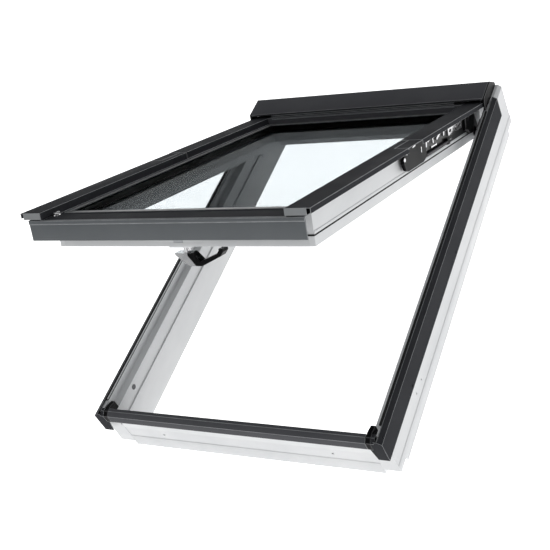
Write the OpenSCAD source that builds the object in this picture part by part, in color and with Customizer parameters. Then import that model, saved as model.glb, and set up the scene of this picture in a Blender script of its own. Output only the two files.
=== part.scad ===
// Roof window: a frame that lies in the roof, and a sash that swings outwards from the top
// or turns about its middle for cleaning. The frame lies flat: X runs across it, Y up the
// slope from the sill, and Z out of the roof. Z = 0 is the room side of the frame. The sash
// and its arms are drawn closed, then swung open about the top pivots by opening_deg.

/* [Frame] */
// Outer width of the frame
frame_w = 780; // [650:10:1140]
// Outer height of the frame, from sill to head
frame_h = 1180; // [980:10:1420]
// Width of a jamb across its section
jamb_t = 44; // [40:1:60]
// Depth of the sill along the slope
sill_t = 33; // [27:1:40]
// Depth of the head along the slope
head_t = 32; // [27:1:40]
// Height of the ledges on the inner faces of the jambs
ledge_z = 89; // [74:1:96]
// Height of the top ridge of the frame cladding
ridge_z = 156; // [150:1:156]
// Height of the lower edge of the side cladding
cladding_z = 88; // [74:1:100]
// Thickness of the cladding sheet
sheet_t = 1.5; // [1:0.1:1.8]

/* [Sash] */
// Gap between the sash and the inner face of a jamb
side_gap = 17; // [16:0.5:22]
// Gap between the bottom rail and the sill
bottom_gap = 6.5; // [5.5:0.5:10]
// Width of a stile and of the bottom rail
rail_w = 54; // [46:1:66]
// Width of the top rail
top_rail_w = 116; // [98:1:140]
// Depth of the lining below the sash body
lining_h = 33; // [27:1:40]
// Height of the covers above the lower edge of the front panel
cover_h = 65; // [62:0.5:66]
// Width of the top of a side cover
cover_w = 57; // [48:1:68]
// Height of the outer band of a side cover
band_h = 12; // [8:1:14]

/* [Glass] */
// Thickness of each pane
pane_t = 4; // [3:0.2:5]
// Gap between the panes
cavity_t = 14; // [10:1:17]
// Width of the edge seal of the glass unit
edge_seal_w = 12; // [8:1:15]
// Width of a glazing bead
bead_w = 17; // [14:1:21]

/* [Hinges] */
// Angle at which the sash stands open
opening_deg = 29.35; // [0:0.05:34]
// Distance of the top pivots from the top of the frame
top_pivot_y = 134; // [130:1:145]
// Height of the top pivots
top_pivot_z = 98.5; // [96:0.5:102]
// Distance along the slope between a top pivot and a centre pivot
arm_len = 520; // [430:1:600]
// Radius of the pivot pins
pin_r = 5; // [4:0.5:6]
// Thickness of the arm plates
arm_t = 4; // [3:0.2:5]

/* [Handle] */
// Distance of the handle from the outer face of the bottom rail
handle_in = 27; // [22:1:33]
// Reach of the handle lever from its spindle
lever_len = 98; // [80:1:120]
// Width of the handle lever
lever_w = 22; // [18:1:27]
// Travel of the latch as the handle turns
latch_travel = 14; // [10:1:15]

/* [Hidden] */
$fn = 48;
white = "gainsboro";
dark = "#3a3a3d";
black = "#151516";
steel = "silver";

// Clearances
run_gap = 0.05;
slip_gap = 0.5;
seat_gap = 0.3;
slot_gap = 0.2;
turn_gap = 2;
lift_gap = 0.7;
corner_cut = 18;

// Frame
hw = frame_w / 2;
inner_x = hw - jamb_t;
ledge_step = 4;
upper_x = inner_x + ledge_step;
upstand_x = hw - 20;
upstand_z = ridge_z - 6;
inner_z = 128;
corner_notch = 42;
lip_h = 15;
step_d = 1.5;
slope_w = 11.5;
slope_h = 7.5;
overhang = 19;
sill_top = 85;
sill_upstand_t = 12;
sill_front_z = 126;
foot_z = sill_front_z - sheet_t;
head_inner_z = 110;
head_upstand_t = 14;
drain_x = 0.3 * frame_w;
drain_z = 58;
drain_r = 3;
bracket_hole_y = 200;
bracket_hole_step = 40;
bracket_hole_z = 62;
bracket_hole_r = 2.5;
bracket_hole_depth = 20;
jamb_cladding_y1 = frame_h - 60;
end_plate_w = 27;
end_plate_top_w = 35;
screw_z = cladding_z + 8;
screw_r = 2;
screw_l = 12;
screw_head_r = 4;
screw_head_h = 1.4;
screw_ys = [0.15 * frame_h, 0.5 * frame_h, 0.85 * frame_h];
cap_w = 12;
cap_back_y = 28;
screw_cap_ys = [100, frame_h - 80];
screw_cap_z = 112;
screw_cap_r = 7;
screw_cap_h = 1.2;

// Sash, closed
sash_z = 112;
front_top = sash_z + 47.5;
cover_top = sash_z + cover_h;
cover_seat = cover_top - sheet_t;
lining_z = sash_z - lining_h;
lining_w = 13;
groove_z0 = sash_z - 11;
groove_z1 = sash_z - 8;
groove_d = 4;
seal_lip = 1.2;
ridge_w = 1.5;
sash_x = inner_x - side_gap;
sash_y0 = sill_t + bottom_gap;
sash_y1 = frame_h - 72;
day_x = sash_x - rail_w;
day_y0 = sash_y0 + rail_w;
day_y1 = sash_y1 - top_rail_w;
cover_x = upstand_x - 4.5;
cover_in = cover_x - cover_w;
cover_y1 = sash_y1 + 4;
wall_x = cover_in + 2;
top_edge_y = cover_y1 - cover_w - 30;
front_y = -24;
front_t = 2.5;
front_lip = 10;
front_hw = inner_x + 2.5;
cover_front_y = front_y - 4;
front_plate_z = front_top - 2;

// Hood
hood_hw = upstand_x - 3;
hood_end_w = 5;
hood_top = cover_top + 10.5;
hood_lip = 6;
hood_front_y = frame_h - 104;
hood_back_y = frame_h - 32;
hood_heel_z = 160;

// Glass unit
glass_top = front_plate_z - slip_gap;
glass_z0 = glass_top - 2 * pane_t - cavity_t;
bead_lap = 7;
bead_x = cover_in - bead_w;
glass_x = bead_x + bead_lap;
rebate_x = glass_x + 1;
wall_t = 5;
glass_y0 = sash_y0 + wall_t + slip_gap;
glass_y1 = top_edge_y + bead_lap + 1;
bead_h = 3.5;
bead_y0 = glass_y0 + 5;

// Pivots and arms
pivot_y = frame_h - top_pivot_y;
pivot_z = top_pivot_z;
centre_y = pivot_y - arm_len;
centre_z = cover_top - 11;
joint_up = 43;
joint_down = 46;
arm_x = sash_x + 2.5;
arm_face = arm_x + arm_t;
arm_top = cover_top - 13;
arm_low = arm_top - 49;
heel_y = pivot_y - 50;
heel_r = 14;
heel_boss = 3;
boss_r = pin_r + 3.5;
socket_x = wall_x + slip_gap;
bracket_t = 4;
case_x = inner_x - 1;
case_low = arm_top - 50;
spring_r = 4.4;
spring_wire = 0.9;
spring_x = arm_face + spring_r + 0.6;
spring_y0 = centre_y + 118;
spring_len = 150;
spring_z = arm_low + 8;
spring_turns = 30;
rod_r = 2.4;
slide_y0 = spring_y0 + spring_len + 20;
slide_l = 108;
slide_h = 20;
slide_z = arm_top - 19;
slide_dimple_r = 5.5;
slide_t = 4;
slide_travel = 12;
stud_r = 2.5;
stud_head_r = 4;
stud_ys = [slide_y0 + 22, slide_y0 + slide_l - 14];
rivet_h = 1.5;
link_r = 2.6;
link_w = 3.2;
link_t = 3;
// Links of the lifting gear: place along the arm and above its lower edge, length and tilt
links = [[126, 18, 12, 90], [144, 38, 12, 8], [166, 18, 34, 0], [222, 34, 14, 25], [298, 8, 12, 0]];

// Handle and latch
handle_y = sash_y0 + handle_in;
base_h = 8;
neck_h = 12;
neck_r = 8;
spindle_r = 4;
lever_z = lining_z - base_h - neck_h;
latch_z = 92;
latch_t = 8;
latch_w = 24;
latch_l = 34;
keep_w = 44;
keep_gap = 1.5;

function unit(v) = v / norm(v);
function left_of(v) = [-v[1], v[0]];
function side_dir(p, i) = left_of(unit(p[i + 1] - p[i]));
// Direction in which corner i of a path moves as the path is offset by one
function miter(p, i) =
  i == 0 ? side_dir(p, 0)
  : i == len(p) - 1 ? side_dir(p, i - 1)
  : (side_dir(p, i - 1) + side_dir(p, i)) / (1 + side_dir(p, i - 1) * side_dir(p, i));
// Outline of a sheet folded along a path, with its thickness to the left of the path
function folded(p, t) = concat(p, [for (i = [len(p) - 1:-1:0]) p[i] + t * miter(p, i)]);

// A section drawn as [y, z] that runs along X from x0 to x1
module across(x0, x1) {
  translate([x0, 0, 0]) rotate([90, 0, 90]) linear_extrude(x1 - x0) children();
}

// A section drawn as [x, z] that runs along Y from y0 to y1
module along(y0, y1) {
  translate([0, y1, 0]) rotate([90, 0, 0]) linear_extrude(y1 - y0) children();
}

module block(low, high) {
  translate(low) cube(high - low);
}

// A cylinder along X from x0 to x1
module pin_x(x0, x1, y, z, r) {
  translate([x0, y, z]) rotate([0, 90, 0]) cylinder(h = x1 - x0, r = r);
}

module left_side() {
  mirror([1, 0, 0]) children();
}

module both_sides() {
  children();
  mirror([1, 0, 0]) children();
}

// The closed sash and arms, swung open about the top pivots
module opened() {
  translate([0, pivot_y, pivot_z]) rotate([-opening_deg, 0, 0])
    translate([0, -pivot_y, -pivot_z]) children();
}

// ---- Frame ----

module corner_notches() {
  for (x = [-hw - 1, hw - corner_notch], y = [-1, frame_h - corner_notch])
    block([x, y, -1], [x + corner_notch + 1, y + corner_notch + 1, lip_h]);
}

// Moulded jamb: a deep inner part, a ledge and an upstand for the cladding
module jamb() {
  difference() {
    along(0, frame_h) polygon([[inner_x, 0], [hw, 0], [hw, 38], [hw - step_d, 40],
      [hw - step_d, upstand_z - slope_h], [hw - step_d - slope_w + 2, upstand_z],
      [upstand_x, upstand_z], [upstand_x, inner_z], [upper_x, inner_z], [upper_x, ledge_z],
      [inner_x, ledge_z]]);
    corner_notches();
    // Holes for the brackets that fasten the frame to the roof
    for (i = [-0.5, 0.5])
      pin_x(hw - bracket_hole_depth, hw + 1, bracket_hole_y + i * bracket_hole_step,
        bracket_hole_z, bracket_hole_r);
    for (y = screw_ys) pin_x(hw - screw_l - 1, hw + 1, y, screw_z, screw_r);
  }
}

module sill() {
  color(white) difference() {
    across(-inner_x, inner_x) polygon([[0, 0], [sill_t, 0], [sill_t, sill_top],
      [sill_upstand_t, sill_top], [sill_upstand_t, foot_z], [0, foot_z], [0, 79], [step_d, 77],
      [step_d, 41], [0, 39]]);
    corner_notches();
    for (x = [-drain_x, drain_x]) translate([x, -1, drain_z]) rotate([-90, 0, 0])
      cylinder(h = sill_t + 2, r = drain_r);
  }
}

module head() {
  color(white) difference() {
    across(-inner_x, inner_x) polygon([[frame_h - head_t, 0], [frame_h, 0],
      [frame_h, upstand_z], [frame_h - head_upstand_t, upstand_z],
      [frame_h - head_upstand_t, head_inner_z], [frame_h - head_t, head_inner_z]]);
    corner_notches();
  }
}

// Folds of the sill cladding, from the back of its underside round to its foot
function sill_path() = [[-slip_gap, sill_front_z], [-overhang, sill_front_z],
  [-overhang, ridge_z - slope_h], [slope_w - overhang, ridge_z], [sheet_t, ridge_z],
  [sheet_t, foot_z]];

// Folds of the jamb cladding, from its lower edge up to the ridge
function jamb_path() = [[hw, cladding_z], [hw, ridge_z - slope_h], [hw - slope_w, ridge_z],
  [hw - slope_w - sheet_t, ridge_z]];

module jamb_cladding() {
  difference() {
    union() {
      along(-overhang, jamb_cladding_y1) polygon(folded(jamb_path(), sheet_t));
      // End plate at the foot of the jamb
      along(-overhang, sheet_t - overhang) polygon([[hw - end_plate_w, cladding_z],
        [hw, cladding_z], [hw, ridge_z - slope_h], [hw - slope_w, ridge_z],
        [upstand_x, ridge_z], [upstand_x, sill_front_z], [hw - end_plate_top_w, sill_front_z]]);
      // Return along the sill, up to the corner cap
      across(upper_x + cap_w + slip_gap, upstand_x + sheet_t)
        polygon(folded(sill_path(), -sheet_t));
    }
    // Room for the jamb behind the return
    block([upper_x, 0, foot_z - 1], [hw - sheet_t, sheet_t + 1, upstand_z]);
    for (y = screw_ys) pin_x(hw - 2 * sheet_t, hw + 1, y, screw_z, screw_r);
  }
}

module sill_cladding() {
  color(dark) union() {
    across(slip_gap - upper_x, upper_x - slip_gap) polygon(folded(sill_path(), -sheet_t));
    // Foot that turns down behind the upstand of the sill
    across(slip_gap - inner_x, inner_x - slip_gap) polygon([[0, foot_z],
      [sill_upstand_t, foot_z], [sill_upstand_t, sill_top], [sill_upstand_t + sheet_t, sill_top],
      [sill_upstand_t + sheet_t, sill_front_z], [0, sill_front_z]]);
  }
}

// Rubber strip along the top of a jamb
module jamb_seal() {
  seal_x = hw - slope_w - sheet_t - slip_gap;
  color(black) along(cap_back_y, hood_front_y - 18) polygon([[upstand_x, upstand_z],
    [seal_x, upstand_z], [seal_x, ridge_z + 1], [upstand_x + 2, ridge_z + 1],
    [upstand_x, ridge_z - 1]]);
}

// Shell over the head, open at the front where the sash passes under it
module hood() {
  color(dark) across(-hood_hw, hood_hw) polygon(folded([[hood_front_y, hood_top - hood_lip],
    [hood_front_y, hood_top], [hood_back_y, hood_top], [frame_h + sheet_t, hood_heel_z],
    [frame_h + sheet_t, head_inner_z]], -sheet_t));
}

// Moulding that closes an end of the hood and holds it on the jamb
module hood_ends() {
  color(black) both_sides() across(hood_hw, hood_hw + hood_end_w)
    polygon([[hood_front_y - 14, ridge_z + 1 + seat_gap],
      [jamb_cladding_y1 + slip_gap, ridge_z + 1 + seat_gap],
      [jamb_cladding_y1 + slip_gap, upstand_z], [frame_h, upstand_z],
      [frame_h, hood_heel_z], [hood_back_y, hood_top], [hood_front_y, hood_top]]);
}

// Moulding at each end of the sill cladding, with an upright beside the jamb
module corner_caps() {
  color(black) both_sides() across(upper_x, upper_x + cap_w)
    polygon([[-overhang, sill_front_z], [-overhang, ridge_z - slope_h],
      [slope_w - overhang, ridge_z], [8, ridge_z], [cap_back_y, ridge_z - 6],
      [cap_back_y, inner_z], [0, inner_z], [0, sill_front_z]]);
}

// Bracket on a jamb that carries a top pivot pin
module hinge_brackets() {
  color(steel) both_sides() difference() {
    union() {
      block([inner_x - bracket_t, pivot_y - 40, pivot_z - 26],
        [inner_x, pivot_y + 30, pivot_z + 18]);
      block([inner_x - 1, pivot_y - 40, ledge_z], [upper_x, pivot_y + 30, pivot_z + 18]);
    }
    pin_x(inner_x - bracket_t - 1, upper_x + 1, pivot_y, pivot_z, pin_r);
  }
}

module top_pivot_pins() {
  color(steel) both_sides() pin_x(arm_x, upper_x, pivot_y, pivot_z, pin_r);
}

// Block on the sill with a mouth that the latch enters
module latch_keep() {
  color("gray") difference() {
    block([-keep_w / 2, sill_upstand_t + sheet_t, sill_top],
      [keep_w / 2, sill_t, latch_z + latch_t / 2 + 6]);
    block([-latch_w / 2 - keep_gap, sash_y0 - latch_travel - keep_gap, latch_z - latch_t / 2 - keep_gap],
      [latch_w / 2 + keep_gap, sill_t + 1, latch_z + latch_t / 2 + keep_gap]);
  }
}

// Caps over the screws in the inner faces of the jambs
module screw_caps() {
  color("darkgray") both_sides() for (y = screw_cap_ys)
    pin_x(upper_x - screw_cap_h, upper_x, y, screw_cap_z, screw_cap_r);
}

// Buffers low on the jambs that centre the sash as it closes
module guide_blocks() {
  color("dimgray") both_sides() hull() {
    block([inner_x - 3, sill_t + 9, 34], [inner_x, sill_t + 19, 46]);
    block([inner_x - 1, sill_t + 6, 30], [inner_x, sill_t + 22, 50]);
  }
}

module cladding_screws() {
  color("#2c2c2e") both_sides() for (y = screw_ys) {
    pin_x(hw - screw_l, hw + 0.1, y, screw_z, screw_r);
    pin_x(hw, hw + screw_head_h, y, screw_z, screw_head_r);
  }
}

// ---- Arms ----

// Steel plate from a top pivot to a centre pivot
module arm() {
  difference() {
    union() {
      across(arm_x, arm_face) polygon([[centre_y, centre_z - boss_r],
        [centre_y + 30, arm_low], [heel_y, arm_low], [pivot_y - heel_r, pivot_z],
        [pivot_y + heel_r, pivot_z], [pivot_y + heel_r, pivot_z + 20], [heel_y + 34, arm_top],
        [centre_y + 16, arm_top], [centre_y, centre_z + boss_r]]);
      pin_x(arm_x, arm_face, centre_y, centre_z, boss_r);
      pin_x(arm_x, arm_face + heel_boss, pivot_y, pivot_z, heel_r);
    }
    pin_x(arm_x - 1, arm_face + heel_boss + 1, pivot_y, pivot_z, pin_r + run_gap);
    pin_x(arm_x - 1, arm_face + 1, centre_y, centre_z, pin_r);
  }
}

// Moulded case of the brake beside a centre pivot
module arm_housing() {
  difference() {
    union() {
      across(arm_face, case_x) polygon([[centre_y - 34, case_low + 24],
        [centre_y - 24, case_low + 5], [centre_y - 12, case_low], [centre_y + 88, case_low],
        [centre_y + 112, case_low + 8], [centre_y + 112, arm_top - 12],
        [centre_y + 98, arm_top], [centre_y + 40, arm_top], [centre_y + 40, cover_seat],
        [centre_y + 12, cover_seat], [centre_y - 8, centre_z], [centre_y - 30, centre_z - 14]]);
      pin_x(arm_face, case_x, centre_y, centre_z, boss_r);
    }
    pin_x(arm_face - 1, case_x + 1, centre_y, centre_z, pin_r);
  }
}

// Moulded covers at the upper ends of the arms
module arm_shrouds() {
  color(black) opened() both_sides() across(arm_face, case_x - 1)
    polygon([[heel_y - 56, arm_top - 6], [heel_y - 44, arm_top], [heel_y + 16, arm_top],
      [heel_y + 20, arm_top - 18], [heel_y + 6, arm_low + 6], [heel_y, arm_low - 9],
      [heel_y - 28, arm_low - 7], [heel_y - 36, arm_low + 4], [heel_y - 56, arm_low + 8]]);
}

// Blocks that the lifting springs pull on
module spring_anchors() {
  color("#232325") opened() both_sides()
    block([arm_face, spring_y0 + spring_len, arm_low + 1],
      [case_x - 1, spring_y0 + spring_len + 16, arm_low + 17]);
}

// Closed coils of a lifting spring, as rings side by side
module assist_springs() {
  pitch = spring_len / spring_turns;
  color("dimgray") opened() both_sides() translate([spring_x, spring_y0, spring_z])
    rotate([-90, 0, 0]) rotate_extrude() polygon(concat(
      [[spring_r - 2 * spring_wire, 0]],
      [for (i = [0:spring_turns - 1], k = [0, 0.5]) [spring_r - (k == 0 ? 0.6 : 0), (i + k) * pitch]],
      [[spring_r - 0.6, spring_len], [spring_r - 2 * spring_wire, spring_len]]));
}

module spring_rods() {
  color("lightgray") opened() both_sides() translate([spring_x, centre_y + 112, spring_z])
    rotate([-90, 0, 0]) cylinder(h = spring_y0 + spring_len - centre_y - 112, r = rod_r);
}

// Studs that guide the mode slides, and rivets along the arms
module arm_rivets() {
  color("lightgray") opened() both_sides() {
    for (y = stud_ys) {
      pin_x(arm_face, arm_face + slide_t + 1.5, y, slide_z, stud_r);
      pin_x(arm_face + slide_t + 1, arm_face + slide_t + 2.5, y, slide_z, stud_head_r);
    }
    for (y = [centre_y + 124, centre_y + 190, slide_y0 - 12])
      pin_x(arm_face, arm_face + rivet_h, y, arm_top - 9, stud_head_r);
  }
}

// Small links of the lifting gear, each a bar with two round ends
module arm_links() {
  color("lightgray") opened() both_sides() for (k = links)
    translate([arm_face, centre_y + k[0], arm_low + k[1]]) rotate([k[3], 0, 0]) {
      pin_x(0, link_t, 0, 0, link_r);
      pin_x(0, link_t, k[2], 0, link_r);
      block([0, 0, -link_w / 2], [link_t, k[2], link_w / 2]);
    }
}

// Angles that carry the upper side covers on the arms
module cover_brackets() {
  seat = cover_seat + lift_gap;
  color(steel) opened() both_sides() for (y = [centre_y + 150, slide_y0 - 30, heel_y - 88])
    across(arm_face, arm_face + 14) polygon([[y - 8, arm_top - 4], [y + 8, arm_top - 4],
      [y + 8, seat], [y - 8, seat]]);
}

module centre_pivot_pins() {
  color(steel) opened() both_sides()
    pin_x(socket_x, case_x, centre_y, centre_z, pin_r);
}

// Short covers over the centre pivots, which stay with the arms
module pivot_covers() {
  color(dark) opened() both_sides() block([sash_x + 1.5, centre_y - joint_down + turn_gap,
    cover_seat], [cover_x, centre_y + joint_up + turn_gap - slip_gap, cover_top]);
}

// Side covers of the upper half, which stay with the arms
module upper_cover() {
  opened() difference() {
    along(centre_y + joint_up + turn_gap, cover_y1) translate([0, lift_gap])
      polygon(folded([[cover_x, cover_top - band_h], [cover_x, cover_top],
        [cover_in, cover_top], [cover_in, front_top]], sheet_t));
    // Corner cut away, clear of the ledge of the open frame
    block([arm_x, cover_y1 - corner_cut, cover_top - band_h],
      [cover_x + 1, cover_y1 + 1, cover_top - sheet_t - 3]);
  }
}

// Slide that locks an arm to the sash or to the frame
module mode_slide() {
  opened() difference() {
    block([arm_face + slip_gap, slide_y0, slide_z - slide_h / 2],
      [arm_face + slide_t, slide_y0 + slide_l, slide_z + slide_h / 2]);
    // Round dimple between the slots
    pin_x(arm_face + slide_t - 1.5, arm_face + slide_t + 1, slide_y0 + slide_l / 2 + 3, slide_z,
      slide_dimple_r);
    // Slots, from the stud at rest to where it lies when the slide is up
    for (y = stud_ys) block([arm_face, y - slide_travel - stud_r - slot_gap,
      slide_z - stud_r - slot_gap],
      [arm_face + slide_t + 1, y + stud_r + slot_gap, slide_z + stud_r + slot_gap]);
  }
}

// ---- Sash ----

module stile() {
  opened() difference() {
    along(sash_y0, sash_y1) polygon([[sash_x, lining_z], [sash_x, groove_z0],
      [sash_x - groove_d, groove_z0], [sash_x - groove_d, groove_z1], [sash_x, groove_z1],
      [sash_x + ridge_w, groove_z1 + 1], [sash_x + ridge_w, sash_z - 2], [sash_x, sash_z],
      [sash_x, cover_seat], [wall_x, cover_seat], [wall_x, glass_top], [rebate_x, glass_top],
      [rebate_x, glass_z0], [day_x, glass_z0], [day_x, sash_z], [sash_x - lining_w, sash_z],
      [sash_x - lining_w, lining_z]]);
    // The groove for the seal runs on round the ends
    for (y = [sash_y0 - 1, sash_y1 - groove_d])
      block([day_x, y, groove_z0], [sash_x + 1, y + groove_d + 1, groove_z1]);
    pin_x(socket_x, sash_x + 1, centre_y, centre_z, pin_r + run_gap);
  }
}

module bottom_rail() {
  y0 = sash_y0;
  color(white) opened() difference() {
    union() {
      across(-day_x, day_x) polygon([[y0, sash_z - 1], [y0, front_plate_z],
        [y0 + wall_t, front_plate_z], [y0 + wall_t, glass_z0], [day_y0, glass_z0],
        [day_y0, sash_z - 1]]);
      across(lining_w - sash_x, sash_x - lining_w) polygon([[y0, lining_z], [y0, groove_z0],
        [y0 + groove_d, groove_z0], [y0 + groove_d, groove_z1], [y0, groove_z1], [y0, sash_z],
        [day_y0, sash_z], [day_y0, lining_z]]);
    }
    // Channel for the latch
    block([-latch_w / 2 - slip_gap, y0 - 1, latch_z - latch_t / 2 - seat_gap],
      [latch_w / 2 + slip_gap, y0 + latch_l + 2, latch_z + latch_t / 2 + seat_gap]);
  }
}

module top_rail() {
  y1 = sash_y1;
  color(white) opened() union() {
    across(-day_x, day_x) polygon([[day_y1, sash_z - 1], [day_y1, glass_z0],
      [glass_y1 + 1, glass_z0], [glass_y1 + 1, cover_seat], [y1, cover_seat], [y1, sash_z - 1]]);
    across(lining_w - sash_x, sash_x - lining_w) polygon([[y1, lining_z], [y1, groove_z0],
      [y1 - groove_d, groove_z0], [y1 - groove_d, groove_z1], [y1, groove_z1], [y1, sash_z],
      [y1 - lining_w, sash_z], [y1 - lining_w, lining_z]]);
  }
}

module pane(z) {
  opened() block([-glass_x, glass_y0, z], [glass_x, glass_y1, z + pane_t]);
}

// Black spacer and seal between the panes
module edge_seal() {
  color(black) opened() difference() {
    block([-glass_x, glass_y0, glass_z0 + pane_t], [glass_x, glass_y1, glass_top - pane_t]);
    block([edge_seal_w - glass_x, glass_y0 + edge_seal_w, glass_z0],
      [glass_x - edge_seal_w, glass_y1 - edge_seal_w, glass_top]);
  }
}

// Ribbed bead along a side of the glass
module side_bead() {
  w = bead_w - slip_gap;
  opened() along(glass_y0, top_edge_y - slip_gap) translate([bead_x, glass_top])
    polygon([[0, 0], [w, 0], [w, bead_h - 1], [0.75 * w, bead_h], [0.5 * w, bead_h - 2],
      [0.25 * w, bead_h], [0, bead_h - 1]]);
}

module bead_top() {
  y1 = top_edge_y - slip_gap;
  color("#6b6d70") opened() across(-bead_x, bead_x) translate([y1, glass_top])
    polygon([[0, 0], [0, bead_h], [0.5 * -bead_w, bead_h - 1.5], [-bead_w, bead_h], [-bead_w, 0]]);
}

module bead_bottom() {
  y0 = sash_y0 + wall_t;
  color("#6b6d70") opened() across(-bead_x, bead_x) polygon([[bead_y0 - bead_w, front_top],
    [y0, front_top], [y0, glass_top], [bead_y0, glass_top], [bead_y0, glass_top + bead_h],
    [bead_y0 - bead_w, glass_top + bead_h + 1]]);
}

// Side covers of the lower half, cut away beside the centre pivots
module lower_cover() {
  opened() difference() {
    along(cover_front_y, centre_y + joint_up) polygon(folded([[cover_x, cover_top - band_h],
      [cover_x, cover_top], [cover_in, cover_top], [cover_in, front_top]], sheet_t));
    block([sash_x + slip_gap, centre_y - joint_down, cover_top - band_h - 1],
      [cover_x + 1, centre_y + joint_up + 1, cover_top + 1]);
  }
}

// Plates that close the lower ends of the side covers
module cover_ends() {
  color("darkgray") opened() both_sides() block([cover_in, cover_front_y - sheet_t,
    cover_top - band_h - 2.5], [cover_x - 9, cover_front_y, cover_top]);
}

module top_cover() {
  color(dark) opened() across(slip_gap - cover_in, cover_in - slip_gap)
    polygon(folded([[top_edge_y, front_top], [top_edge_y, cover_top], [cover_y1, cover_top],
      [cover_y1, cover_top - band_h]], -sheet_t));
}

// Front panel of the sash, with a lip along its top
module front_panel() {
  color("#5b5f61") opened() across(-front_hw, front_hw) polygon([[front_y, sash_z],
    [front_y, front_top - front_lip], [front_y - 2, front_top - front_lip + 1],
    [front_y - 2, front_top - 1.5], [front_y - 0.5, front_top], [front_y + front_t, front_top],
    [front_y + front_t, sash_z]]);
}

// Plate that runs back from the front panel to the glass
module front_plate() {
  color(dark) opened() union() {
    across(-front_hw, front_hw) polygon([[front_y + front_t, front_plate_z],
      [sash_y0 - slip_gap, front_plate_z], [sash_y0 - slip_gap, front_top],
      [front_y + front_t, front_top]]);
    across(-day_x, day_x) polygon([[0, front_plate_z], [sash_y0 + wall_t, front_plate_z],
      [sash_y0 + wall_t, front_top], [0, front_top]]);
  }
}

// Rubber seal in the groove round the sash
module sash_seal() {
  color(black) opened() difference() {
    block([-sash_x - seal_lip, sash_y0 - seal_lip, groove_z0],
      [sash_x + seal_lip, sash_y1 + seal_lip, groove_z1]);
    block([groove_d - sash_x, sash_y0 + groove_d, groove_z0 - 1],
      [sash_x - groove_d, sash_y1 - groove_d, groove_z1 + 1]);
  }
}

// Bright clips that hold the lower corners of the glass beads
module glass_clips() {
  color("whitesmoke") opened() both_sides() {
    block([bead_x, 4, front_top], [bead_x + 14, 26, front_top + 1.5]);
    block([bead_x + 6, 4, front_top], [bead_x + 9, 26, front_top + 9]);
    translate([bead_x + 3, 14, front_top]) cylinder(h = 5, r = 2.6);
  }
}

module handle_base() {
  color(white) opened() difference() {
    block([-38, handle_y - 0.5 * lever_w, lining_z - base_h],
      [22, handle_y + 0.5 * lever_w, lining_z]);
    translate([0, handle_y, lining_z - base_h - 1]) cylinder(h = base_h, r = spindle_r + run_gap);
  }
}

// Bright body of the handle, with its neck and spindle
module handle_lever() {
  color(steel) opened() union() {
    along(handle_y - 0.5 * lever_w, handle_y + 0.5 * lever_w) translate([0, lever_z])
      polygon([[-27, 0], [-25, -5], [0, -25], [10, -29], [24, -29], [6, -6], [6, 0]]);
    translate([0, handle_y, lever_z - 2]) cylinder(h = neck_h + 2 - seat_gap, r = neck_r);
    translate([0, handle_y, lever_z]) cylinder(h = neck_h + base_h - 2, r = spindle_r);
  }
}

// Dark grip that bends away from the body and back up to the rail
module handle_grip() {
  color("#3c3c3f") opened() difference() {
    along(handle_y - 0.5 * lever_w, handle_y + 0.5 * lever_w) translate([0, lever_z])
      polygon([[6, 0], [6, -6], [24, -29], [40, -29], [lever_len - 8, -7], [lever_len, 3],
        [lever_len, 10], [lever_len - 10, 10], [lever_len - 10, 7], [lever_len - 16, -1],
        [36, -19], [18, 0]]);
    translate([0, handle_y, lever_z - 2]) cylinder(h = neck_h, r = neck_r);
  }
}

module latch_bolt() {
  color(steel) opened() block([-latch_w / 2, sash_y0 + slip_gap, latch_z - latch_t / 2],
    [latch_w / 2, sash_y0 + latch_l, latch_z + latch_t / 2]);
}

color(white) left_side() jamb();  // jamb_left
color(white) jamb();  // jamb_right
head();
sill();
color(dark) left_side() jamb_cladding();  // jamb_cladding_left
color(dark) jamb_cladding();  // jamb_cladding_right
sill_cladding();
left_side() jamb_seal();  // jamb_seal_left
jamb_seal();  // jamb_seal_right
hood();
hood_ends();
corner_caps();
hinge_brackets();
top_pivot_pins();
latch_keep();
screw_caps();
guide_blocks();
cladding_screws();
color(black) opened() left_side() arm();  // arm_left
color(black) opened() arm();  // arm_right
color(black) opened() left_side() arm_housing();  // arm_housing_left
color(black) opened() arm_housing();  // arm_housing_right
arm_shrouds();
spring_anchors();
assist_springs();
spring_rods();
arm_rivets();
arm_links();
cover_brackets();
centre_pivot_pins();
pivot_covers();
color(dark) left_side() upper_cover();  // upper_cover_left
color(dark) upper_cover();  // upper_cover_right
color(steel) left_side() mode_slide();  // mode_slide_left
color(steel) mode_slide();  // mode_slide_right
color(white) left_side() stile();  // stile_left
color(white) stile();  // stile_right
top_rail();
bottom_rail();
color("lightblue", 0.4) pane(glass_top - pane_t);  // outer_pane
color("lightblue", 0.4) pane(glass_z0);  // inner_pane
edge_seal();
color("#6b6d70") left_side() side_bead();  // bead_left
color("#6b6d70") side_bead();  // bead_right
bead_top();
bead_bottom();
color(dark) left_side() lower_cover();  // lower_cover_left
color(dark) lower_cover();  // lower_cover_right
cover_ends();
top_cover();
front_panel();
front_plate();
sash_seal();
glass_clips();
handle_base();
handle_lever();
handle_grip();
latch_bolt();
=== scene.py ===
import math

import bmesh
import bpy
from mathutils import Matrix, Vector


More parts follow.
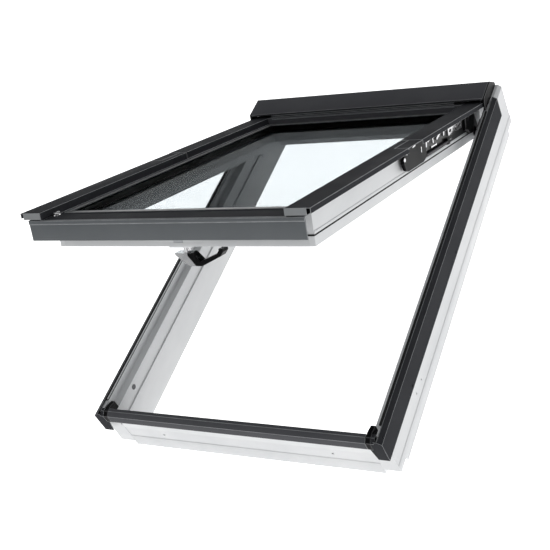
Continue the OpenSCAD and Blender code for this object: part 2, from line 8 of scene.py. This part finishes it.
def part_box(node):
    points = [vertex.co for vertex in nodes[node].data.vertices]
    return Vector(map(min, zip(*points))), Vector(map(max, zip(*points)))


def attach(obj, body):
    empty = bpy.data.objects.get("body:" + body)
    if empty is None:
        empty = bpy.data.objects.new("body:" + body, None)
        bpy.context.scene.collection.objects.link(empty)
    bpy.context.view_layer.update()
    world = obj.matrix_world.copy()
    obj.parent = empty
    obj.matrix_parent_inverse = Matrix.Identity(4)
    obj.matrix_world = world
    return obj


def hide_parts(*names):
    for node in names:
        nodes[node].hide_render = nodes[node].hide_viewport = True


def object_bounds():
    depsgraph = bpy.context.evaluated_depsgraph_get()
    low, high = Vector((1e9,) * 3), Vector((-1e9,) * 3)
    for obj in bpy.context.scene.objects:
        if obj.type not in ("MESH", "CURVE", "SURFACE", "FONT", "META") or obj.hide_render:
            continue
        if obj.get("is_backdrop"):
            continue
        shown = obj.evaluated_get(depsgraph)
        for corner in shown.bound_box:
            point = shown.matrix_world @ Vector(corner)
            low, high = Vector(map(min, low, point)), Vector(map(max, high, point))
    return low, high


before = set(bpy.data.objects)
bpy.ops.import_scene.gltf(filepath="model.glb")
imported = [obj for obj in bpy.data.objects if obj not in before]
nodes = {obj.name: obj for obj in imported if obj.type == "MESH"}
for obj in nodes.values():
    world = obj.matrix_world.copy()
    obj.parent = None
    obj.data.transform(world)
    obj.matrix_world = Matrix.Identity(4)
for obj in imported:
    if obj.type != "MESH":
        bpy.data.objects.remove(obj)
cad_low, cad_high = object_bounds()

# ---- Studio ----
# A pale floor under the window, an even grey room round it, and two large soft lamps.
# The window lies flat on its room side, with its sash standing open.
scene = bpy.context.scene
scene.view_settings.view_transform = "Standard"

camera_data = bpy.data.cameras.new("camera")
camera_data.lens = 67.2
camera_data.sensor_width = 36
camera_data.clip_end = 1000
camera = bpy.data.objects.new("camera", camera_data)
right_way = Vector((0.86924, 0.33869, -0.36016))
back_way = Vector((0.49420, -0.57459, 0.65239))
up_way = back_way.cross(right_way)
camera.matrix_world = Matrix.Translation((1.2637, -1.0776, 1.8923)) @ Matrix(
    (right_way, up_way, back_way)).transposed().to_4x4()
scene.collection.objects.link(camera)
scene.camera = camera

world = bpy.data.worlds.new("studio")
world.use_nodes = True
world.node_tree.nodes["Background"].inputs["Color"].default_value = (0.97, 0.985, 1, 1)
world.node_tree.nodes["Background"].inputs["Strength"].default_value = 0.43
scene.world = world


def soft_lamp(name, place, target, size, power):
    """A square soft lamp that shines at a point."""
    data = bpy.data.lights.new(name, "AREA")
    data.size = size
    data.energy = power
    lamp = bpy.data.objects.new(name, data)
    lamp.location = place
    lamp.rotation_mode = "QUATERNION"
    lamp.rotation_quaternion = (Vector(target) - Vector(place)).to_track_quat("-Z", "Y")
    scene.collection.objects.link(lamp)


soft_lamp("front_lamp", (-0.6, -3.4, 1.2), (0, 0.4, 0.3), 2.4, 12)
soft_lamp("side_lamp", (3.2, 0.2, 0.9), (0, 0.5, 0.2), 2.0, 4)


def principled(name):
    """A material with one Principled shader: its tree, its shader and its object coordinates."""
    material = bpy.data.materials.new(name)
    material.use_nodes = True
    tree = material.node_tree
    place = tree.nodes.new("ShaderNodeTexCoord")
    return material, tree, tree.nodes["Principled BSDF"], place.outputs["Object"]


def floor_paint():
    """Matt white studio floor that glows, lighting the window from below and staying pale; to
    rays through the glass it glows over four times brighter, which undoes the glass's painted
    shade on it.
    """
    material, tree, shader, place = principled("floor_paint")
    shader.inputs["Base Color"].default_value = (0.7, 0.7, 0.7, 1)
    shader.inputs["Roughness"].default_value = 0.9
    shader.inputs["Specular IOR Level"].default_value = 0.1
    shader.inputs["Emission Color"].default_value = (1, 1, 1, 1)
    material.cycles.emission_sampling = "NONE"
    path = tree.nodes.new("ShaderNodeLightPath")
    seen = tree.nodes.new("ShaderNodeMath")
    seen.operation = "MULTIPLY_ADD"
    seen.inputs[1].default_value = 0.25
    seen.inputs[2].default_value = 1.02
    through = tree.nodes.new("ShaderNodeMath")
    through.operation = "MULTIPLY_ADD"
    through.inputs[1].default_value = 4.3
    tree.links.new(path.outputs["Is Camera Ray"], seen.inputs[0])
    direct = tree.nodes.new("ShaderNodeMath")
    direct.operation = "LESS_THAN"
    direct.inputs[1].default_value = 0.5
    clear = tree.nodes.new("ShaderNodeMath")
    clear.operation = "MULTIPLY"
    tree.links.new(path.outputs["Diffuse Depth"], direct.inputs[0])
    tree.links.new(direct.outputs[0], clear.inputs[0])
    tree.links.new(path.outputs["Is Transmission Ray"], clear.inputs[1])
    tree.links.new(clear.outputs[0], through.inputs[0])
    tree.links.new(seen.outputs[0], through.inputs[2])
    tree.links.new(through.outputs[0], shader.inputs["Emission Strength"])
    return material


floor_mesh = bpy.data.meshes.new("floor")
floor_half = 200
floor_mesh.from_pydata([(x * floor_half, y * floor_half, 0) for x, y in
                        ((-1, -1), (1, -1), (1, 1), (-1, 1))], [], [(0, 1, 2, 3)])
floor_mesh.materials.append(floor_paint())
floor = bpy.data.objects.new("floor", floor_mesh)
floor.location.z = cad_low.z - 0.002
scene.collection.objects.link(floor)
floor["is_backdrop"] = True

# ---- Moulded frame: jambs, head and sill ----
# White plastic profiles, cut and welded into a frame. The plastic is smooth and half gloss,
# and runs a little cloudy along its length.


def group(name, inputs, outputs):
    """An empty node group with the given sockets: (name, type, default) each."""
    tree = bpy.data.node_groups.new(name, "ShaderNodeTree")
    for label, kind, value in inputs:
        socket = tree.interface.new_socket(label, in_out="INPUT", socket_type=kind)
        socket.default_value = value
    for label, kind in outputs:
        tree.interface.new_socket(label, in_out="OUTPUT", socket_type=kind)
    return tree, tree.nodes.new("NodeGroupInput"), tree.nodes.new("NodeGroupOutput")


def cloudy_group():
    """Two tones of one finish that run into each other in soft patches, long in one direction."""
    tree, given, out = group("cloudy", [
        ("Place", "NodeSocketVector", (0, 0, 0)), ("Stretch", "NodeSocketVector", (1, 1, 1)),
        ("Scale", "NodeSocketFloat", 6), ("Light", "NodeSocketColor", (1, 1, 1, 1)),
        ("Dark", "NodeSocketColor", (0, 0, 0, 1))],
        [("Colour", "NodeSocketColor"), ("Mask", "NodeSocketFloat")])
    scaled = tree.nodes.new("ShaderNodeVectorMath")
    scaled.operation = "MULTIPLY"
    noise = tree.nodes.new("ShaderNodeTexNoise")
    noise.inputs["Detail"].default_value = 4
    noise.inputs["Roughness"].default_value = 0.6
    ramp = tree.nodes.new("ShaderNodeMapRange")
    ramp.inputs["From Min"].default_value = 0.35
    ramp.inputs["From Max"].default_value = 0.65
    mix = tree.nodes.new("ShaderNodeMix")
    mix.data_type = "RGBA"
    tree.links.new(given.outputs["Place"], scaled.inputs[0])
    tree.links.new(given.outputs["Stretch"], scaled.inputs[1])
    tree.links.new(scaled.outputs[0], noise.inputs["Vector"])
    tree.links.new(given.outputs["Scale"], noise.inputs["Scale"])
    tree.links.new(noise.outputs["Fac"], ramp.inputs["Value"])
    tree.links.new(ramp.outputs["Result"], mix.inputs["Factor"])
    tree.links.new(given.outputs["Dark"], mix.inputs["A"])
    tree.links.new(given.outputs["Light"], mix.inputs["B"])
    tree.links.new(mix.outputs["Result"], out.inputs["Colour"])
    tree.links.new(ramp.outputs["Result"], out.inputs["Mask"])
    return tree


def grain_group():
    """Fine moulded or sprayed grain: a height for a bump, and a roughness that varies with it."""
    tree, given, out = group("grain", [
        ("Place", "NodeSocketVector", (0, 0, 0)), ("Stretch", "NodeSocketVector", (1, 1, 1)),
        ("Scale", "NodeSocketFloat", 900), ("Smooth", "NodeSocketFloat", 0.3),
        ("Rough", "NodeSocketFloat", 0.5)],
        [("Height", "NodeSocketFloat"), ("Roughness", "NodeSocketFloat")])
    scaled = tree.nodes.new("ShaderNodeVectorMath")
    scaled.operation = "MULTIPLY"
    fine = tree.nodes.new("ShaderNodeTexNoise")
    fine.inputs["Detail"].default_value = 2
    broad = tree.nodes.new("ShaderNodeTexNoise")
    broad.inputs["Scale"].default_value = 14
    broad.inputs["Detail"].default_value = 5
    rough = tree.nodes.new("ShaderNodeMapRange")
    rough.inputs["From Min"].default_value = 0.3
    rough.inputs["From Max"].default_value = 0.7
    tree.links.new(given.outputs["Place"], scaled.inputs[0])
    tree.links.new(given.outputs["Stretch"], scaled.inputs[1])
    tree.links.new(scaled.outputs[0], fine.inputs["Vector"])
    tree.links.new(scaled.outputs[0], broad.inputs["Vector"])
    tree.links.new(given.outputs["Scale"], fine.inputs["Scale"])
    tree.links.new(broad.outputs["Fac"], rough.inputs["Value"])
    tree.links.new(given.outputs["Smooth"], rough.inputs["To Min"])
    tree.links.new(given.outputs["Rough"], rough.inputs["To Max"])
    tree.links.new(fine.outputs["Fac"], out.inputs["Height"])
    tree.links.new(rough.outputs["Result"], out.inputs["Roughness"])
    return tree


cloudy = cloudy_group()
grain = grain_group()


def finish(name, light, dark, smooth, rough, cloud=5, stretch=(1, 1, 1), grain_scale=900,
           grain_stretch=(1, 1, 1), depth=0.00004, metal=0, gloss=0.35):
    """A solid finish in two close tones, with a fine grain and a varying gloss."""
    material, tree, shader, place = principled(name)
    tone = tree.nodes.new("ShaderNodeGroup")
    tone.node_tree = cloudy
    tone.inputs["Stretch"].default_value = stretch
    tone.inputs["Scale"].default_value = cloud
    tone.inputs["Light"].default_value = (*light, 1)
    tone.inputs["Dark"].default_value = (*dark, 1)
    skin = tree.nodes.new("ShaderNodeGroup")
    skin.node_tree = grain
    skin.inputs["Stretch"].default_value = grain_stretch
    skin.inputs["Scale"].default_value = grain_scale
    skin.inputs["Smooth"].default_value = smooth
    skin.inputs["Rough"].default_value = rough
    bump = tree.nodes.new("ShaderNodeBump")
    bump.inputs["Strength"].default_value = 0.5
    bump.inputs["Distance"].default_value = depth
    tree.links.new(place, tone.inputs["Place"])
    tree.links.new(place, skin.inputs["Place"])
    tree.links.new(tone.outputs["Colour"], shader.inputs["Base Color"])
    tree.links.new(skin.outputs["Roughness"], shader.inputs["Roughness"])
    tree.links.new(skin.outputs["Height"], bump.inputs["Height"])
    tree.links.new(bump.outputs["Normal"], shader.inputs["Normal"])
    shader.inputs["Metallic"].default_value = metal
    shader.inputs["Specular IOR Level"].default_value = gloss
    return material


def dress(material, *names):
    """Gives CAD nodes a material."""
    for name in names:
        for slot in nodes[name].material_slots:
            slot.material = material


def rounded(width, body, slot, material, edge, *names):
    """Redraws CAD nodes with their long sharp edges rounded off, and those edges in a second
    material: on the dark parts a paler one, a painted highlight.
    """
    for name in names:
        drawn = nodes[name]
        shape = bmesh.new()
        shape.from_mesh(drawn.data)
        bmesh.ops.remove_doubles(shape, verts=shape.verts, dist=1e-6)
        bmesh.ops.dissolve_limit(shape, angle_limit=math.radians(0.5), verts=shape.verts,
                                 edges=shape.edges)
        sharp = [edge for edge in shape.edges if edge.is_manifold
                 and edge.calc_face_angle() > math.radians(25) and edge.calc_length() > 8 * width]
        # The rounded faces take the edge material; on the dark parts it is a painted highlight.
        bevel_faces = bmesh.ops.bevel(shape, geom=sharp, offset=width, offset_type="OFFSET", segments=2,
                        profile=0.5, affect="EDGES", clamp_overlap=True)["faces"]
        for face in shape.faces:
            face.material_index = 0
        for face in bevel_faces:
            face.material_index = 1
        mesh = bpy.data.meshes.new(name + "_skin")
        shape.to_mesh(mesh)
        shape.free()
        mesh.polygons.foreach_set("use_smooth", [True] * len(mesh.polygons))
        mesh.set_sharp_from_angle(angle=math.radians(20))
        mesh.materials.append(material)
        mesh.materials.append(edge)
        piece = bpy.data.objects.new(name + "_skin", mesh)
        piece.matrix_world = drawn.matrix_world
        scene.collection.objects.link(piece)
        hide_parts(name)
        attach(piece, body)


white_plastic = finish("white_plastic", (0.79, 0.795, 0.80), (0.70, 0.71, 0.72), 0.28, 0.42,
                       cloud=3, stretch=(2, 0.6, 2), grain_scale=500)
rounded(0.0009, "frame", "frame_plastic", white_plastic,
        white_plastic, "jamb_left", "jamb_right", "head", "sill")

# ---- Cladding and hood ----
# Folded aluminium sheet with a dark grey powder coat, which has a very fine grain. Its rounded
# edges are painted paler, a painted highlight. It is screwed to the sides of the frame.
powder_coat = finish("powder_coat", (0.042, 0.043, 0.047), (0.035, 0.036, 0.040), 0.6, 0.75,
                     cloud=7, grain_scale=1400, depth=0.00006, gloss=0.03)
# A lighter copy of the powder coat for the hood, the sill cladding and the top cover: painted
# light, standing in for the light that falls on these parts.
powder_coat_painted_lighter = finish("powder_coat_painted_lighter", (0.094, 0.095, 0.102), (0.080, 0.081, 0.088), 0.55, 0.7,
                   cloud=7, grain_scale=1400, depth=0.00006, gloss=0.08)
# Paler colour for the rounded edges of the dark coats: a painted highlight.
edge_highlight_coat = finish("edge_highlight_coat", (0.30, 0.31, 0.32), (0.20, 0.205, 0.21), 0.3, 0.45, cloud=30,
                   gloss=0.5)
rounded(0.0008, "frame", "cladding", powder_coat, edge_highlight_coat, "jamb_cladding_left",
        "jamb_cladding_right")
rounded(0.0008, "frame", "cladding", powder_coat_painted_lighter, edge_highlight_coat, "sill_cladding", "hood")
dress(powder_coat, "cladding_screws")

# ---- Mouldings and seals of the frame ----
# The ends of the hood and the caps at the sill are black moulded plastic. A black rubber
# strip with a pale lip runs along the top of each jamb.
black_plastic = finish("black_plastic", (0.006, 0.006, 0.0065), (0.004, 0.004, 0.0045), 0.25, 0.4,
                       grain_scale=700, gloss=0.06)
# Lighter, glossier colour for the rounded edges of the black mouldings: a painted highlight.
plastic_edge_highlight = finish("plastic_edge_highlight", (0.05, 0.05, 0.052), (0.03, 0.03, 0.032), 0.15, 0.25,
                       gloss=0.7)
rubber = finish("rubber", (0.014, 0.014, 0.014), (0.009, 0.009, 0.009), 0.55, 0.75,
                grain_scale=600)
rounded(0.001, "frame", "trim_plastic", black_plastic, plastic_edge_highlight, "hood_ends",
        "corner_caps")
dress(rubber, "jamb_seal_left", "jamb_seal_right")
pale_lip = finish("pale_lip", (0.70, 0.71, 0.72), (0.60, 0.61, 0.62), 0.4, 0.55)


# The top pivots, as drawn closed, how far the drawing stands above the floor, and the opening
pivot_y = 1.046
pivot_z = 0.0985
drawn_rise = 0.015
opening = math.radians(29.35)


def swung(y, z):
    """Where a point of the closed window lies now that it stands open, along Y and up Z."""
    y, z = y - pivot_y, z - pivot_z
    return (pivot_y + y * math.cos(opening) + z * math.sin(opening),
            pivot_z + drawn_rise - y * math.sin(opening) + z * math.cos(opening))


bar_edge = 0.0003


def bar(name, low, high, body, material, closed=False):
    """A long thin piece with rounded edges, between two corners, given closed or as it stands."""
    shape = bmesh.new()
    middle = (low + high) / 2
    bmesh.ops.create_cube(shape, size=1, matrix=Matrix.Translation(middle) @ Matrix.Diagonal(
        (*(high - low), 1)))
    bmesh.ops.bevel(shape, geom=list(shape.edges), offset=bar_edge, segments=2, profile=0.5,
                    affect="EDGES")
    if closed:
        for corner in shape.verts:
            corner.co.yz = swung(corner.co.y, corner.co.z)
    mesh = bpy.data.meshes.new(name)
    shape.to_mesh(mesh)
    shape.free()
    mesh.materials.append(material)
    piece = bpy.data.objects.new(name, mesh)
    scene.collection.objects.link(piece)
    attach(piece, body)


lip_half = 0.0009
lip_low = 0.003
lip_high = 0.0004
for side in ("left", "right"):
    low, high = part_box("jamb_seal_" + side)
    inner = high.x if side == "left" else low.x
    bar("seal_lip_" + side, Vector((inner - lip_half, low.y, high.z - lip_low)),
        Vector((inner + lip_half, high.y, high.z - lip_high)), "frame", pale_lip)

# ---- Fittings of the frame ----
# Zinc plated hinge brackets and pins, grey plastic keep and buffers, and small grey caps that
# are pressed into the screw holes.
zinc = finish("zinc", (0.62, 0.63, 0.65), (0.48, 0.49, 0.51), 0.22, 0.42, cloud=20,
              grain_stretch=(1, 8, 8), grain_scale=300, metal=1)
grey_plastic = finish("grey_plastic", (0.10, 0.10, 0.105), (0.08, 0.08, 0.085), 0.35, 0.5)
cap_plastic = finish("cap_plastic", (0.12, 0.125, 0.13), (0.09, 0.095, 0.10), 0.35, 0.5)
dress(zinc, "hinge_brackets", "top_pivot_pins")
dress(grey_plastic, "latch_keep", "guide_blocks")
dress(cap_plastic, "screw_caps")

# ---- Arms ----
# Pressed steel plates, painted black, with black moulded cases over the brake and the upper
# end, a spring in black steel, and bright rods, studs, rivets and links.
bright_steel = finish("bright_steel", (0.82, 0.82, 0.82), (0.68, 0.68, 0.69), 0.08, 0.2,
                      cloud=30, grain_scale=200, metal=1)
spring_steel = finish("spring_steel", (0.09, 0.09, 0.095), (0.05, 0.05, 0.052), 0.25, 0.4,
                      cloud=60, metal=1)
arm_paint = finish("arm_paint", (0.008, 0.008, 0.0085), (0.005, 0.005, 0.0055), 0.25, 0.4,
                   cloud=20, grain_scale=900, gloss=0.3)
dress(arm_paint, "arm_left", "arm_right")
dress(zinc, "cover_brackets", "centre_pivot_pins")
# The cases' rounded edges are in the lighter edge colour, a painted highlight.
rounded(0.0012, "arms", "trim_plastic", black_plastic, plastic_edge_highlight, "arm_housing_left",
        "arm_housing_right", "arm_shrouds")
dress(black_plastic, "spring_anchors")
dress(spring_steel, "assist_springs")
dress(bright_steel, "spring_rods", "arm_rivets", "arm_links", "mode_slide_left",
      "mode_slide_right")


def bright_bar(name, side, x, y, z, tilt, length, width, thick):
    """A small bright bar with round ends on one arm; thick bars are links of the lifting
    mechanism, thin ones are painted glints on the case.
    """
    shape = bmesh.new()
    steps = 8
    ring = []
    for end in (0, 1):
        for step in range(steps + 1):
            angle = math.pi * (step / steps + end - 0.5)
            ring.append((width / 2 * math.cos(angle) + (0 if end else length),
                         width / 2 * math.sin(angle)))
    slope = math.radians(tilt)
    corners = []
    for u, v in ring:
        place = swung(y + u * math.cos(slope) - v * math.sin(slope),
                      z + u * math.sin(slope) + v * math.cos(slope))
        corners.append(shape.verts.new((side * x, *place)))
    face = shape.faces.new(corners)
    raised = bmesh.ops.extrude_face_region(shape, geom=[face])["geom"]
    for item in raised:
        if isinstance(item, bmesh.types.BMVert):
            item.co.x += side * thick
    bmesh.ops.recalc_face_normals(shape, faces=shape.faces)
    mesh = bpy.data.meshes.new(name)
    shape.to_mesh(mesh)
    shape.free()
    mesh.materials.append(bright_steel)
    piece = bpy.data.objects.new(name, mesh)
    scene.collection.objects.link(piece)
    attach(piece, "arms")


# Each bar: distance from the middle, place along the closed arm, height, tilt, length, width
# and thickness. The bars under 1 mm thick are bright slivers on the black cases: painted glints.
gear_and_glints = [
    (0.3355, 0.657, 0.132, 80, 0.024, 0.007, 0.0060),
    (0.3355, 0.672, 0.141, 12, 0.026, 0.007, 0.0050),
    (0.3355, 0.708, 0.131, 100, 0.020, 0.006, 0.0050),
    (0.3355, 0.728, 0.152, -8, 0.010, 0.009, 0.0040),
    (0.3355, 0.738, 0.133, 20, 0.026, 0.006, 0.0040),
    (0.3355, 0.783, 0.134, 75, 0.022, 0.007, 0.0060),
    (0.3440, 0.950, 0.150, -30, 0.016, 0.005, 0.0008),
    (0.3440, 0.972, 0.134, 60, 0.014, 0.005, 0.0008),
    (0.3450, 0.503, 0.132, 0, 0.002, 0.009, 0.0006),
    (0.3450, 0.520, 0.142, 70, 0.016, 0.004, 0.0006),
    (0.3450, 0.560, 0.150, 5, 0.016, 0.003, 0.0006),
    (0.3450, 0.612, 0.128, 85, 0.010, 0.004, 0.0006),
]
for side, label in ((-1, "left"), (1, "right")):
    for count, (x, y, z, tilt, length, width, thick) in enumerate(gear_and_glints):
        bright_bar(f"gear_{label}_{count}", side, x, y, z, tilt, length, width, thick)

cover_coat = finish("cover_coat", (0.036, 0.037, 0.041), (0.030, 0.031, 0.035), 0.6, 0.75,
                    cloud=7, grain_scale=1400, depth=0.00006, gloss=0.03)
rounded(0.0008, "arms", "cladding", cover_coat, edge_highlight_coat, "upper_cover_left",
        "upper_cover_right", "pivot_covers")

# ---- Sash ----
# White plastic profiles like the frame's, with folded covers on the outside. The front
# panel is a lighter grey sheet, and three fine ridges run along the top cover's front leg,
# pale in colour as a painted highlight.
panel_coat = finish("panel_coat", (0.114, 0.124, 0.131), (0.099, 0.109, 0.116), 0.4, 0.55,
                    cloud=6, grain_scale=1400, depth=0.00006)
bead_coat = finish("bead_coat", (0.085, 0.088, 0.092), (0.065, 0.068, 0.072), 0.3, 0.42,
                   grain_scale=1200)
end_coat = finish("end_coat", (0.27, 0.28, 0.29), (0.235, 0.245, 0.25), 0.35, 0.5)
rounded(0.0009, "sash", "frame_plastic", white_plastic, white_plastic, "stile_left",
        "stile_right", "top_rail", "bottom_rail", "handle_base")
rounded(0.0008, "sash", "cladding", cover_coat, edge_highlight_coat, "lower_cover_left",
        "lower_cover_right", "front_plate")
# The top cover is in the lighter copy of the coat: painted light.
rounded(0.001, "sash", "cladding", powder_coat_painted_lighter, edge_highlight_coat, "top_cover")
rounded(0.0008, "sash", "panel", panel_coat, edge_highlight_coat, "front_panel")
rounded(0.001, "sash", "bead", bead_coat, edge_highlight_coat, "bead_left", "bead_right", "bead_top",
        "bead_bottom")
# The ridges are coloured pale grey as a painted highlight along the dark top cover.
ridge_highlight_paint = finish("ridge_highlight_paint", (0.34, 0.35, 0.36), (0.26, 0.27, 0.28), 0.35, 0.5, gloss=0.4)
ridge_half = 0.2895
ridge_near = 1.0238
ridge_far = 1.0249
ridge_tall = 0.0011
for count, rise in enumerate((0.1613, 0.1683, 0.1725)):
    low = Vector((-ridge_half, ridge_near, rise))
    high = Vector((ridge_half, ridge_far, rise + ridge_tall))
    bar(f"top_ridge_{count}", low, high, "sash", ridge_highlight_paint, closed=True)
dress(end_coat, "cover_ends")
dress(bright_steel, "glass_clips")
dress(rubber, "sash_seal", "edge_seal")


def shade_tinted_glass():
    """Float glass that bends and mirrors light very little, tinted grey as real glazing is, and
    much darker than that as painted shade on the parts seen through it.
    """
    material, tree, shader, place = principled("shade_tinted_glass")
    waves = tree.nodes.new("ShaderNodeTexNoise")
    waves.inputs["Scale"].default_value = 3
    bump = tree.nodes.new("ShaderNodeBump")
    bump.inputs["Strength"].default_value = 0.05
    bump.inputs["Distance"].default_value = 0.00001
    # The dark tint is painted shade: it darkens the parts under the glass as their shade would.
    shader.inputs["Base Color"].default_value = (0.400, 0.413, 0.418, 1)
    shader.inputs["Roughness"].default_value = 0
    shader.inputs["IOR"].default_value = 1.004
    shader.inputs["Transmission Weight"].default_value = 1
    tree.links.new(place, waves.inputs["Vector"])
    tree.links.new(waves.outputs["Fac"], bump.inputs["Height"])
    tree.links.new(bump.outputs["Normal"], shader.inputs["Normal"])
    return material


dress(shade_tinted_glass(), "outer_pane", "inner_pane")

# ---- Handle and latch ----
# A bright cast body with a dark grip, on a white base under the bottom rail, and the zinc
# plated latch bolt that it drives.
dress(bright_steel, "handle_lever")
dress(black_plastic, "handle_grip")
dress(zinc, "latch_bolt")

low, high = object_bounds()
